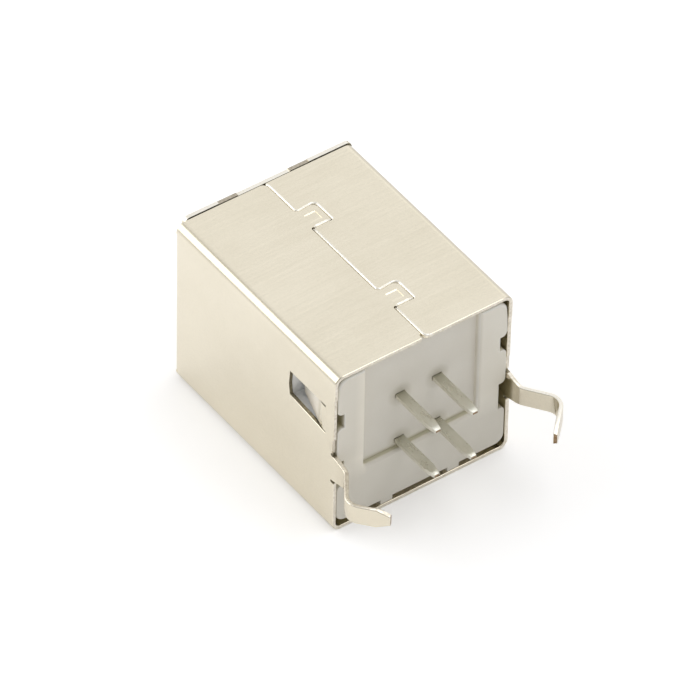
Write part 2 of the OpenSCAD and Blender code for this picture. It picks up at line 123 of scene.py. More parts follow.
# The frame round the recess of the housing
FRAME_HALF = 4.0
FRAME_FOOT = 3.6
FRAME_TOP = 10.2
FRAME_TOP_SIDE = 3.3
PALE_ABOVE = 4.2

# Widths of rolled and rounded edges, in millimetres
SEAM_ROLL = 0.14
TAB_ROLL = 0.16
RIM_ROLL = 0.065
RIM_REACH = 0.1
WINDOW_EASE = 0.03
LEG_EASE = 0.03
SHEET_EASE = 0.02
FRAME_ROUND = 0.22
FRAME_TOP_ROUND = 0.16
REAR_EASE = 0.06
HOUSING_EASE = 0.04
CONTACT_EASE = 0.025

# Steps across an eased edge, the rear rims and a rolled edge
EASE_STEPS = 2
RIM_STEPS = 3
ROLL_STEPS = 4

# The depth that the roll keeps on the rear edge, and where the lip of the seam starts to lose its own
RIM_SHARE = 0.4
RIM_SLACK = 0.005
FLATTEN_START = 0.5
FLATTEN_RUN = 0.2

# How quickly a rolled edge grows from its ends, its share of a tight corner and what counts as a long run
ROLL_TAPER = 1.0
CORNER_SHARE = 0.6
LONG_RUN = 4

# Share of an edge's run along +X above which it counts as facing the front, and the roll that it keeps
FRONT_RUN = 0.8
SLIGHT_ROLL = 0.02

# Turns between faces, in degrees: rounded edge, broken shading, crease, corner and flat
SHARP_TURN = 35
SHADE_BREAK = 40
CREASE_TURN = 4
CORNER_TURN = 4
FLAT_TURN = 0.3

# How close, in millimetres, counts as the same point, the same line and the same face
SAME_POINT = 0.0005
SAME_LINE = 0.001
CLOSE = 0.01

# Shares of a normal along an axis, from a level face down to one that is turned half away
LEVEL = 0.999
SQUARE = 0.99
CUT_SQUARE = 0.97
FACING = 0.9
MOSTLY = 0.8
HALF_TURNED = 0.5

# Product of a face's place and its normal along X below which it faces inwards
INWARD = -1

# How strongly large faces pull the shading of their corners
LARGE_FACES = 100

# Finishes of the shell, in the order in which it takes its materials
PLATED = 0
# Burnished faces are whiter, partly as painted highlight
BURNISHED = 1
BARE = 2
TORN = 3
SHEARED = 4
# Punched walls are painted dark, as painted shade
PUNCHED_SHADE = 5

# Further finishes of the housing and of the contacts, in the same way
# The pale edge of the housing is painted light
PALE_EDGE = 1
SHEARED_SIDE = 1
BARE_TIP = 2

# Where the noise of a finish has most of its values, and the depth of fine and coarse relief in metres
GRAIN_SPREAD = (0.3, 0.7)
FINE_RELIEF = 0.00001
COARSE_RELIEF = 0.00002

# Soft limits in the plating: painted shade at a fold (product of depths past two walls) and on legs, painted
# light on lances
FOLD_DEPTHS = (0.08, 0.15)
LEG_SHADE_Y = (7.8, 8.6)
LANCE_DEPTHS = (0.02, 0.2)
LANCE_Y = (3.0, 6.6)
LANCE_Z = (6.6, 9.4)

# Soft limits of painted light and shade in the moulding: frame legs, recess and its lit edge, bar, tails,
# foot and grooves
LEG_INSET = 0.15
LEG_OUTSET = 0.1
RECESS_Z = (4.5, 9.5)
RECESS_PAINTED_SHADE = (0.93, 1.0)
LIT_EDGE_OUTER = (4.6, 3.95)
LIT_EDGE_INNER = 3.7
LIT_ROUND = 0.2
BAR_ABOVE = 0.9
BAR_BELOW = 0.7
TAIL_SHADE_REACH = (0.05, 0.75)
TAIL_SHADE_Y = (7.35, 7.45)
FOOT_HALF = 0.13
FOOT_Y = (7.42, 7.5)
GROOVE_X = (4.2, 4.7)
GROOVE_Y = (7.35, 7.6)
LIT_GROOVE_Y = (2.8, 6.3)
LIT_GROOVE_Z = (6.4, 9.6)

# Soft limits on the contacts: the painted shade at the feet of the tails and the end of the gilt
TAIL_FOOT_Y = (7.4, 8.7)
GILT_END_Y = (1.5, 2.1)

# Half the width of the ramp at each end of a soft band
SOFT_LIMIT = 0.1

# Camera, at the photograph's angle
CAMERA_PLACE = (0.213014, 0.288553, 0.345430)
CAMERA_RIGHT = (-0.812226, 0.583138, 0.015470)
CAMERA_UP = (-0.392668, -0.566157, 0.724760)
CAMERA_BACK = (0.431394, 0.582595, 0.688827)
CAMERA_LENS = 458.93
CAMERA_SENSOR = 36
CAMERA_NEAR = 0.01

# Table top: its half width in metres, its colours, and its glow for the camera and for reflections
TABLE_HALF = 1.5
PAPER = (0.93, 0.93, 0.94, 1)
PAPER_GLOW = (1.0, 0.985, 0.955, 1)
SEEN_GLOW = 0.22
MIRRORED_GLOW = 0.06

# White tent: the level direction to its far side, its brightness from near to far, and the lamps' distance
FAR_SIDE = (-0.595, -0.804, 0.0)
TENT = [(0.1, 0.46), (0.6, 0.68), (0.86, 0.90), (0.95, 1.0), (1.0, 1.3)]
WHITE = (1, 1, 1, 1)
LAMP_DISTANCE = 0.6


def within(value, limits):
    return limits[0] < value < limits[1]


def clamped(value, low, high):
    return min(max(value, low), high)


def middle_of(edge):
    return (edge.verts[0].co + edge.verts[1].co) / 2


def finish_mesh(name, bm, crease=None):
    """Turns a bmesh in millimetres into a smooth shaded piece; crease picks further edges that stay sharp."""
    bm.normal_update()
    for face in bm.faces:
        face.smooth = True
    for edge in bm.edges:
        turn = edge.calc_face_angle(0)
        breaks = turn > math.radians(SHADE_BREAK)
        edge.smooth = not (breaks or crease and turn > math.radians(CREASE_TURN) and crease(edge))
    bmesh.ops.scale(bm, vec=(MM, MM, MM), verts=bm.verts)
    for vert in bm.verts:
        vert.co = [clamped(here, low, high) for here, low, high in zip(vert.co, *cad_box)]
    mesh = bpy.data.meshes.new(name)
    bm.to_mesh(mesh)
    bm.free()
    piece = bpy.data.objects.new(name, mesh)
    bpy.context.scene.collection.objects.link(piece)
    weighted = piece.modifiers.new("even_normals", "WEIGHTED_NORMAL")
    weighted.weight = LARGE_FACES
    weighted.keep_sharp = True
    return piece


def merged_copy(node):
    """A copy of a CAD node in millimetres, with its triangles joined into whole faces."""
    bm = bmesh.new()
    bm.from_mesh(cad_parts[node].data)
    bmesh.ops.scale(bm, vec=(1 / MM, 1 / MM, 1 / MM), verts=bm.verts)
    bmesh.ops.remove_doubles(bm, verts=bm.verts, dist=SAME_POINT)
    bmesh.ops.dissolve_limit(bm, angle_limit=math.radians(FLAT_TURN), verts=bm.verts, edges=bm.edges)
    return bm


def sharp_edges(bm, keep):
    """Edges with a clear turn that the keep test accepts, given their middle and the faces beside them."""
    bm.normal_update()
    found = []
    for edge in bm.edges:
        if len(edge.link_faces) == 2 and edge.calc_face_angle(0) > math.radians(SHARP_TURN):
            if keep(middle_of(edge), *edge.link_faces):
                found.append(edge)
    return found


def round_edges(bm, width, segments, keep):
    """Rounds the sharp edges that the keep test accepts and returns the new faces."""
    made = bmesh.ops.bevel(bm, geom=sharp_edges(bm, keep), offset=width, offset_type="OFFSET",
                           affect="EDGES", segments=segments, profile=0.5, material=-1, clamp_overlap=False)
    return made["faces"]


def chain_on(face, on_chain):
    """The run of vertices along one face that the test accepts, in the face's own order."""
    verts = list(face.verts)
    count = len(verts)
    start = next(i for i in range(count) if on_chain(verts[i]) and not on_chain(verts[i - 1]))
    run = []
    while on_chain(verts[start % count]):
        run.append(verts[start % count])
        start += 1
    return run


def rolled_widths(points, width):
    """Width of a rolled edge at each point.

    It is nothing at both ends, little at tight outer corners and along the rear edge of the shell, and next
    to nothing on edges that face the front."""
    last = len(points) - 1
    reach = [(points[i + 1] - points[i]).length for i in range(last)]
    widths = [0.0] * (last + 1)
    for i in range(1, last):
        before = points[i] - points[i - 1]
        after = points[i + 1] - points[i]
        turn = math.atan2(before.cross(after), before.dot(after))
        along = before.normalized() + after.normalized()
        widths[i] = width if along.x < FRONT_RUN * along.length else SLIGHT_ROLL
        if points[i].y > REAR_EDGE - SAME_LINE:
            widths[i] = min(width, RIM_ROLL)
        if turn > math.radians(CORNER_TURN):
            widths[i] = min(widths[i], CORNER_SHARE * (reach[i - 1] + reach[i]) / 2 / turn)
    for i in range(1, last + 1):
        widths[i] = min(widths[i], widths[i - 1] + ROLL_TAPER * reach[i - 1])
    for i in range(last - 1, -1, -1):
        widths[i] = min(widths[i], widths[i + 1] + ROLL_TAPER * reach[i])
    return widths


def roll_edge(bm, face, on_chain, width, segments):
    """Rolls a level face over along part of its outline, as a punch leaves the edge of a sheet.

    The rolled strip is burnished, and its whiter colour is partly a painted highlight."""
    run = chain_on(face, on_chain)
    for one, two in zip(run, run[1:]):
        edge = bm.edges.get((one, two))
        length = edge.calc_length()
        if length > LONG_RUN * width / ROLL_TAPER:
            near = bmesh.utils.edge_split(edge, one, width / ROLL_TAPER / length)[1]
            rest = bm.edges.get((near, two))
            bmesh.utils.edge_split(rest, two, width / ROLL_TAPER / rest.calc_length())
    run = chain_on(face, on_chain)
    points = [vert.co.xy for vert in run]
    widths = rolled_widths(points, width)
    rings = [[vert] for vert in run]
    for i in range(1, len(run) - 1):
        along = (points[i + 1] - points[i]).normalized() + (points[i] - points[i - 1]).normalized()
        inward = Vector((-along.y, along.x)).normalized()
        for k in range(1, segments + 1):
            turn = math.pi / 2 * k / segments
            side = inward * widths[i] * (1 - math.cos(turn))
            drop = widths[i] * (1 - math.sin(turn))
            rings[i].append(bm.verts.new(run[i].co + Vector((side.x, side.y, -drop))))
    inner = {vert: ring[-1] for vert, ring in zip(run, rings)}
    bm.faces.new([inner.get(vert, vert) for vert in face.verts])
    for one, two in zip(rings, rings[1:]):
        for k in range(segments):
            corners = [one[min(k, len(one) - 1)], two[min(k, len(two) - 1)],
                       two[min(k + 1, len(two) - 1)], one[min(k + 1, len(one) - 1)]]
            bm.faces.new(list(dict.fromkeys(corners))).material_index = BURNISHED
    for vert, drop in zip(run, widths):
        vert.co.z -= drop
    bmesh.ops.delete(bm, geom=[face], context="FACES_ONLY")


def stands_for(piece, node, slot, *materials):
    """Gives a piece its materials and lets it stand for a CAD node."""
    for material in materials:
        piece.data.materials.append(material)
    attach(piece, "root")
    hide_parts(node)


class Nodes:
    """Short ways to add and join the nodes of a material or a world."""

    def __init__(self, owner):
        owner.use_nodes = True
        self.tree = owner.node_tree

    def add(self, kind, **values):
        node = self.tree.nodes.new(kind)
        for key, value in values.items():
            setattr(node, key, value)
        return node

    def link(self, source, target):
        self.tree.links.new(source, target)

    def put(self, value, socket):
        """Joins a node's output to a socket, or sets the socket to a plain value."""
        if isinstance(value, bpy.types.NodeSocket):
            self.link(value, socket)
        else:
            socket.default_value = value

    def maths(self, how, *values):
        node = self.add("ShaderNodeMath", operation=how)
        for socket, value in zip(node.inputs, values):
            self.put(value, socket)
        return node.outputs["Value"]

    def plus(self, first, second):
        return self.maths("ADD", first, second)

    def minus(self, first, second):
        return self.maths("SUBTRACT", first, second)

    def times(self, first, second):
        return self.maths("MULTIPLY", first, second)

    def size(self, value):
        return self.maths("ABSOLUTE", value)

    def past(self, value, limit):
        """How far a value is past a limit, and nothing before it."""
        return self.maths("MAXIMUM", self.minus(value, limit), 0.0)

    def ramp(self, fac, stops):
        """A colour ramp: stops are (place, colour)."""
        node = self.add("ShaderNodeValToRGB")
        while len(node.color_ramp.elements) < len(stops):
            node.color_ramp.elements.new(0.5)
        for element, (place, colour) in zip(node.color_ramp.elements, stops):
            element.position = place
            element.color = (*colour, 1)
        self.link(fac, node.inputs["Fac"])
        return node.outputs["Color"]

    def span(self, value, low, high, to_low=0.0, to_high=1.0):
        """A value that goes from to_low to to_high while another goes from low to high."""
        node = self.add("ShaderNodeMapRange")
        for key, number in (("From Min", low), ("From Max", high), ("To Min", to_low), ("To Max", to_high)):
            node.inputs[key].default_value = number
        self.link(value, node.inputs["Value"])
        return node.outputs["Result"]

    def between(self, value, low, high):
        """One inside the limits and nothing outside them, with a short ramp at each end."""
        rises = self.span(value, low - SOFT_LIMIT, low + SOFT_LIMIT)
        return self.times(rises, self.span(value, high - SOFT_LIMIT, high + SOFT_LIMIT, 1.0, 0.0))

    def mix(self, fac, first, second, blend="MIX"):
        node = self.add("ShaderNodeMix", data_type="RGBA", blend_type=blend)
        for key, value in (("Factor", fac), ("A", first), ("B", second)):
            self.put(value, node.inputs[key])
        return node.outputs["Result"]


class Finish(Nodes):
    """A material of a piece, with its patterns on Object coordinates."""

    def __init__(self, name):
        self.material = bpy.data.materials.new(name)
        super().__init__(self.material)
        self.shader = self.tree.nodes["Principled BSDF"]

    def place(self, scale=(1, 1, 1)):
        """Object coordinates, stretched."""
        where = self.add("ShaderNodeTexCoord")
        mapping = self.add("ShaderNodeMapping")
        mapping.inputs["Scale"].default_value = scale
        self.link(where.outputs["Object"], mapping.inputs["Vector"])
        return mapping.outputs["Vector"]

    def millimetres(self):
        """Object coordinates one by one, in millimetres."""
        parts = self.add("ShaderNodeSeparateXYZ")
        self.link(self.place((1 / MM, 1 / MM, 1 / MM)), parts.inputs["Vector"])
        return parts.outputs

    def noise(self, scale, detail, rough):
        """Noise with a scale along each axis."""
        node = self.add("ShaderNodeTexNoise")
        node.inputs["Scale"].default_value = 1.0
        node.inputs["Detail"].default_value = detail
        node.inputs["Roughness"].default_value = rough
        self.link(self.place(scale), node.inputs["Vector"])
        return node.outputs["Fac"]

    def bump(self, height, strength, distance):
        node = self.add("ShaderNodeBump")
        node.inputs["Strength"].default_value = strength
        node.inputs["Distance"].default_value = distance
        self.link(height, node.inputs["Height"])
        self.link(node.outputs["Normal"], self.shader.inputs["Normal"])

    def finish_metal(self, colour, roughness):
        self.link(colour, self.shader.inputs["Base Color"])
        self.link(roughness, self.shader.inputs["Roughness"])
        self.shader.inputs["Metallic"].default_value = 1.0

    def moulded_skin(self):
        """Slow flow marks with a fine grain, and the grain by itself."""
        flow = self.noise((300, 160, 300), 3.0, 0.5)
        skin = self.noise((14000, 14000, 14000), 3.0, 0.6)
        return self.plus(self.times(flow, 0.7), self.times(skin, 0.3)), skin

    def finish_moulding(self, colour, skin, polished=None):
        """Sets the colour and the eroded skin, which is smoother where it is polished."""
        self.link(colour, self.shader.inputs["Base Color"])
        roughness = self.span(skin, *GRAIN_SPREAD, 0.48, 0.62)
        if polished is not None:
            roughness = self.plus(roughness, self.times(polished, -0.35))
        self.link(roughness, self.shader.inputs["Roughness"])
        self.shader.inputs["Specular IOR Level"].default_value = 0.4
        self.bump(skin, 0.12, COARSE_RELIEF)


def nickel_plate():
    """Satin nickel on rolled sheet.

    It has faint streaks, fine grain and a slow change of tone. The folds and the legs are painted darker, as
    painted shade, and the lances, which the punch pushed in, are rougher and painted paler, as painted light."""
    m = Finish("nickel_plate")
    streaks = m.noise((260, 6000, 6000), 4.0, 0.6)
    grain = m.noise((9000, 9000, 9000), 2.0, 0.6)
    clouds = m.noise((220, 220, 220), 3.0, 0.5)
    fine = m.plus(m.times(streaks, 0.3), m.times(grain, 0.3))
    tone = m.plus(fine, m.times(clouds, 0.4))
    colour = m.ramp(tone, [(0.35, (0.825, 0.760, 0.612)), (0.65, (0.915, 0.850, 0.702))])
    x, y, z = m.millimetres()
    side = m.size(x)
    height = m.size(m.minus(z, SHELL_TOP / 2))
    # The folds are painted darker, as painted shade
    corner = m.times(m.past(side, WALL_FACE - FOLD), m.past(height, SHELL_TOP / 2 - FOLD))
    folded = m.span(corner, *FOLD_DEPTHS)
    # The legs past the rear edge are painted darker, as painted shade
    leg_shaded = m.span(y, *LEG_SHADE_Y, 0.0, 0.4)
    # The lances are painted paler, as painted light, and made rougher
    sunk = m.span(side, WALL_FACE - LANCE_DEPTHS[0], WALL_FACE - LANCE_DEPTHS[1])
    lance = m.times(m.times(sunk, m.between(y, *LANCE_Y)), m.between(z, *LANCE_Z))
    fold_painted_shade = (0.60, 0.545, 0.43, 1)
    leg_painted_shade = (0.70, 0.63, 0.49, 1)
    lance_painted_light = (0.95, 0.90, 0.80, 1)
    for amount, finish in ((folded, fold_painted_shade), (leg_shaded, leg_painted_shade), (lance, lance_painted_light)):
        colour = m.mix(amount, colour, finish)
    m.finish_metal(colour, m.plus(m.span(tone, 0.35, 0.65, 0.16, 0.24), m.times(lance, 0.3)))
    m.bump(fine, 0.05, FINE_RELIEF)
    return m.material


def cut_metal(name, grain, colours, roughness, relief, spread=GRAIN_SPREAD):
    """Metal whose tone, gloss and relief follow one grain.

    The grain is the scale along each axis, the detail and the roughness of a noise."""
    m = Finish(name)
    tear = m.noise(*grain)
    m.finish_metal(m.ramp(tear, list(zip(spread, colours))), m.span(tear, *GRAIN_SPREAD, *roughness))
    m.bump(tear, *relief)
    return m.material


def burnished_edge():
    """Sheet that the punch drew over and polished: brighter and whiter than the plating, partly as a painted
    highlight.
    """
    return cut_metal("burnished_edge", ((9000, 9000, 9000), 3.0, 0.6),
                     ((0.84, 0.80, 0.70), (0.96, 0.93, 0.86)), (0.48, 0.36), (0.10, FINE_RELIEF))


def sheared_edge():
    """The cut edge of the sheet: darker than the plating, with torn grain."""
    return cut_metal("sheared_edge", ((6000, 6000, 6000), 4.0, 0.6),
                     ((0.70, 0.64, 0.53), (0.90, 0.85, 0.75)), (0.42, 0.28), (0.15, FINE_RELIEF),
                     spread=(0.36, 0.64))


def torn_scar():
    """Broken sheet where the carrier strip was snapped off: dull and grey-brown."""
    return cut_metal("torn_scar", ((7000, 7000, 7000), 4.0, 0.7),
                     ((0.36, 0.32, 0.25), (0.60, 0.55, 0.46)), (0.6, 0.45), (0.3, COARSE_RELIEF))


def punched_wall_shade():
    """The walls of the windows and relief slots and the inside of the front plate: painted dark, as painted
    shade.
    """
    return cut_metal("punched_wall_shade", ((7000, 7000, 7000), 4.0, 0.7),
                     ((0.20, 0.175, 0.115), (0.42, 0.38, 0.28)), (0.55, 0.42), (0.2, FINE_RELIEF))


def bare_end():
    """Bare copper alloy where a leg or a tail was cut off its carrier."""
    return cut_metal("bare_end", ((12000, 12000, 12000), 3.0, 0.6),
                     ((0.20, 0.13, 0.07), (0.42, 0.29, 0.17)), (0.5, 0.4), (0.15, FINE_RELIEF))


def sheared_tin():
    """Tin over the sheared sides of a contact: paler and duller than its faces."""
    return cut_metal("sheared_tin", ((5000, 2000, 9000), 3.0, 0.6),
                     ((0.72, 0.70, 0.61), (0.80, 0.78, 0.70)), (0.62, 0.5), (0.08, FINE_RELIEF))


def grey_moulding():
    """Light grey filled plastic with a fine spark-eroded skin.

    The legs of the rear frame are painted paler than the recess and the bar below it, as painted light and
    shade, and the foot of the recess and the surrounds of the tails carry painted shade. The grooves beside
    the shell are painted pale where the side windows let light in and olive elsewhere, as painted shade."""
    m = Finish("grey_moulding")
    tone, skin = m.moulded_skin()
    colour = m.ramp(tone, list(zip(GRAIN_SPREAD, ((0.725, 0.685, 0.595), (0.785, 0.750, 0.670)))))
    x, y, z = m.millimetres()
    side = m.size(x)

    # Painted light and shade that the grey is multiplied by
    frame_leg_painted_light = (1.07, 1.07, 1.06, 1)
    lit_edge = (1.20, 1.19, 1.17, 1)
    bar_painted_shade = (0.91, 0.91, 0.90, 1)
    tail_painted_shade = (0.80, 0.79, 0.75, 1)
    # Painted light on the frame legs and on the inner edge of the +X leg, painted shade low in the recess
    legs = m.span(side, RECESS_HALF - LEG_INSET, RECESS_HALF + LEG_OUTSET)
    shade = m.mix(legs, m.span(z, *RECESS_Z, *RECESS_PAINTED_SHADE), frame_leg_painted_light)
    inner = m.times(m.span(x, *LIT_EDGE_OUTER), m.span(x, LIT_EDGE_INNER, RECESS_HALF))
    shade = m.mix(inner, shade, lit_edge)
    # The bar below the recess is painted darker, as painted shade
    shade = m.mix(m.span(z, RECESS_FOOT + BAR_ABOVE, RECESS_FOOT - BAR_BELOW), shade, bar_painted_shade)
    # Painted shade round the feet of the tails
    across = m.minus(side, TAIL_SIDE)
    up = m.minus(m.size(m.minus(z, TAIL_AXIS)), TAIL_UP)
    reach = m.plus(m.times(across, across), m.times(up, up))
    tail_shaded = m.times(m.span(reach, *TAIL_SHADE_REACH, 1.0, 0.0), m.span(y, *TAIL_SHADE_Y, 1.0, 0.0))
    shade = m.mix(tail_shaded, shade, tail_painted_shade)
    colour = m.mix(1.0, colour, shade, "MULTIPLY")

    # Painted shade and painted light that take the place of the grey
    recess_foot_painted_shade = (0.54, 0.51, 0.385, 1)
    groove_painted_shade = (0.52, 0.48, 0.31, 1)
    lit_groove = (0.95, 0.96, 0.97, 1)
    # Painted shade along the foot of the recess
    foot = m.between(z, RECESS_FOOT - FOOT_HALF, RECESS_FOOT + FOOT_HALF)
    colour = m.mix(m.times(foot, m.span(y, *FOOT_Y, 1.0, 0.0)), colour, recess_foot_painted_shade)
    # The grooves are painted olive as painted shade, and pale as painted light where the side windows let
    # light in
    groove = m.times(m.span(side, *GROOVE_X), m.span(y, *GROOVE_Y, 1.0, 0.0))
    lit = m.times(m.between(y, *LIT_GROOVE_Y), m.between(z, *LIT_GROOVE_Z))
    colour = m.mix(groove, colour, m.mix(lit, groove_painted_shade, lit_groove))
    m.finish_moulding(colour, skin, m.times(groove, lit))
    return m.material


def moulding_edge():
    """The same plastic on the rounded edges of the rear frame, painted paler where light comes through it.

    This painted light is palest on the inner edge of the leg that turns away from the lamp."""
    m = Finish("moulding_edge")
    tone, skin = m.moulded_skin()
    colour = m.ramp(tone, list(zip(GRAIN_SPREAD, ((0.795, 0.765, 0.69), (0.855, 0.83, 0.765)))))
    thin = m.between(m.millimetres()["X"], RECESS_HALF - LEG_INSET, RECESS_HALF + LIT_ROUND)
    lit_through = (0.97, 0.95, 0.89, 1)
    m.finish_moulding(m.mix(thin, colour, lit_through), skin)
    return m.material


def contact_strip():
    """Copper alloy strip: tin on the tails, painted darker at their feet as painted shade, and a thin gilt on
    the beams.
    """
    m = Finish("contact_strip")
    mottle = m.noise((2500, 900, 2500), 3.0, 0.6)
    tin = m.ramp(mottle, list(zip(GRAIN_SPREAD, ((0.66, 0.65, 0.56), (0.73, 0.72, 0.64)))))
    gilt = m.ramp(mottle, list(zip(GRAIN_SPREAD, ((0.80, 0.58, 0.26), (0.88, 0.68, 0.34)))))
    tail_foot_painted_shade = (0.56, 0.55, 0.46, 1)
    y = m.millimetres()["Y"]
    tin = m.mix(m.span(y, *TAIL_FOOT_Y, 1.0, 0.0), tin, tail_foot_painted_shade)
    m.finish_metal(m.mix(m.span(y, *GILT_END_Y), gilt, tin), m.span(mottle, *GRAIN_SPREAD, 0.24, 0.36))
    m.bump(mottle, 0.02, FINE_RELIEF)
    return m.material


def beside_stake(middle):
    return within(middle.x, STAKE_ROOM) and middle.z > SHELL_TOP - TOP_DEPTH


def on_stake(edge):
    middle = middle_of(edge)
    return beside_stake(middle) and abs(middle.y) < STAKE_Y


def on_top(face):
    return face.normal.z > LEVEL and face.verts[0].co.z > SHELL_TOP - SAME_LINE


def straighten_seam(bm):
    """Straightens the front end of the seam, and makes the stakes shallower and a little longer."""
    for vert in bm.verts:
        if within(vert.co.x, SEAM_STEP_X) and vert.co.y < SEAM_STEP_Y:
            vert.co.x = SEAM_LINE
            vert.co.y = min(vert.co.y, SEAM_FRONT)
        if within(vert.co.x, STAKE_X) and within(vert.co.z, (SHELL_TOP - TOP_DEPTH, SHELL_TOP - CLOSE)):
            vert.co.z = SHELL_TOP - STAKE_SHARE * (SHELL_TOP - vert.co.z)
            if any(abs(vert.co.y - front) < CLOSE for front in STAKE_FRONTS):
                vert.co.y -= STAKE_REACH
    bm.normal_update()


def roll_seam(bm):
    """Rolls the far sheet over along the seam and the rear edge, and the ends of the two hooked tabs."""

    def far_sheet(face):
        across = [vert.co.x for vert in face.verts]
        return on_top(face) and min(across) < FAR_SHEET_START and within(max(across), FAR_SHEET_END)

    def on_far_edge(vert):
        on_rear = vert.co.y > REAR_EDGE - SAME_LINE and vert.co.x > FOLD - WALL_FACE - CLOSE
        return on_rear or abs(vert.co.x) < SEAM_REACH

    def tab_end(face, edge_y):
        return on_top(face) and any(abs(vert.co.y - edge_y) < 2 * SAME_LINE and vert.co.x < TAB_TIP
                                    for vert in face.verts)

    top = next(face for face in bm.faces if far_sheet(face))
    roll_edge(bm, top, on_far_edge, SEAM_ROLL, ROLL_STEPS)
    for edge_y in TAB_ENDS:
        tab = next(face for face in bm.faces if tab_end(face, edge_y))
        roll_edge(bm, tab, lambda vert: vert.co.x < TAB_ROOT and vert.co.y > edge_y - TAB_CORNER,
                  TAB_ROLL, ROLL_STEPS)


def round_shell(bm):
    """Rounds the edges of the windows, the rear rim, the legs and then the rest of the sheet."""

    def window(middle, one, two):
        on_wall = abs(middle.x) > WALL_FACE - CLOSE
        in_window = within(middle.y, WINDOW_Y) and within(middle.z, WINDOW_Z)
        root = middle.y > LANCE_ROOT_Y and within(middle.z, LANCE_ROOT_Z)
        return on_wall and in_window and not root and max(abs(one.normal.x), abs(two.normal.x)) > SQUARE

    def rim(middle, one, two):
        on_rim = within(middle.y, (REAR_EDGE - RIM_REACH, REAR_EDGE + CLOSE))
        return on_rim and max(one.normal.y, two.normal.y) > FACING

    def leg(middle, one, two):
        return middle.y > REAR_EDGE + CLOSE

    def other(middle, one, two):
        plate_top = middle.y < FRONT_FACE + SHEET + CLOSE and middle.z > SHELL_TOP - PLATE_TOP
        fold_end = middle.x > WALL_FACE - FOLD - FOLD_END and middle.y < FRONT_FACE + FOLD + FOLD_END
        stake = beside_stake(middle) and abs(one.normal.x * two.normal.x) < STAKE_SLOPE
        return not (plate_top or fold_end or stake)

    round_edges(bm, WINDOW_EASE, EASE_STEPS, window)
    round_edges(bm, RIM_ROLL, RIM_STEPS, rim)
    round_edges(bm, LEG_EASE, EASE_STEPS, leg)
    round_edges(bm, SHEET_EASE, EASE_STEPS, other)


def settle_rolls(bm):
    """Keeps the walls flat and makes the rolls shallower on the rear edge and on the seam's lip near it."""
    for vert in bm.verts:
        if vert.co.y < REAR_EDGE - RIM_REACH:
            vert.co.x = clamped(vert.co.x, -WALL_FACE, WALL_FACE)
        drop = SHELL_TOP - vert.co.z
        on_rear = vert.co.y > REAR_EDGE - RIM_ROLL - CLOSE and abs(vert.co.x) < WALL_FACE - FOLD
        if within(vert.co.x, LIP_X) and drop < LIP_DROP:
            flattened = clamped((vert.co.y - REAR_EDGE + FLATTEN_START) / FLATTEN_RUN, 0, 1)
            vert.co.z = SHELL_TOP - (1 - (1 - RIM_SHARE) * flattened) * drop
        elif on_rear and drop < RIM_ROLL + RIM_SLACK:
            vert.co.z = SHELL_TOP - RIM_SHARE * drop
    bm.normal_update()


def mark_shell(bm):
    """Gives the cut, torn, burnished and bare faces of the shell their finishes, with painted shade on
    punched walls and a painted highlight on one leg.
    """
    for face in bm.faces:
        middle = face.calc_center_median()
        normal = face.normal
        near_top = middle.z > SHELL_TOP - TOP_DEPTH
        behind_wall = abs(middle.x) < WALL_FACE - CLOSE
        if near_top and middle.y > REAR_EDGE - RIM_ROLL - CLOSE and middle.x < SEAM_SIDE:
            face.material_index = PLATED
        if normal.y > FACING and middle.y > REAR_EDGE - TORN_STEP:
            face.material_index = SHEARED
        if middle.y > REAR_EDGE + LEG_START and abs(normal.z) > MOSTLY:
            # The upper edges of the -X leg past its bend get the whiter burnished finish as a painted
            # highlight
            painted_highlight = middle.x < 0 and middle.y > REAR_EDGE + LEG_BEND and normal.z > 0
            face.material_index = BURNISHED if painted_highlight else SHEARED
        # Window and relief walls and the inside of the front plate are painted dark, as painted shade
        in_window = within(middle.y, PUNCHED_Y) and within(middle.z, WINDOW_Z)
        beside_leg = abs(abs(middle.z - LEG_AXIS) - RELIEF_OFF) < RELIEF_HALF
        in_relief = beside_leg and within(middle.y, (REAR_EDGE - RELIEF_DEPTH, REAR_EDGE))
        if behind_wall and (in_window or in_relief) and abs(normal.x) < HALF_TURNED:
            face.material_index = PUNCHED_SHADE
        if normal.y > FACING and abs(middle.y - FRONT_FACE - SHEET) < 2 * CLOSE:
            face.material_index = PUNCHED_SHADE
        if middle.y > LEG_END and normal.y > HALF_TURNED and normal.x * middle.x < INWARD:
            face.material_index = BARE
        # The top of the front plate is torn at the scars and burnished elsewhere, partly as painted highlight
        if near_top and middle.y < FRONT_FACE + SHEET and normal.z > FACING:
            face.material_index = TORN if within(abs(middle.x), PLATE_SCAR) else BURNISHED


def make_shell(*finishes):
    """The folded shell, with its punched edges rolled over and its cut faces marked."""
    bm = merged_copy("shell")
    straighten_seam(bm)
    roll_seam(bm)
    round_shell(bm)
    settle_rolls(bm)
    mark_shell(bm)
    stands_for(finish_mesh("shell_skin", bm, on_stake), "shell", "nickel_sheet", *finishes)


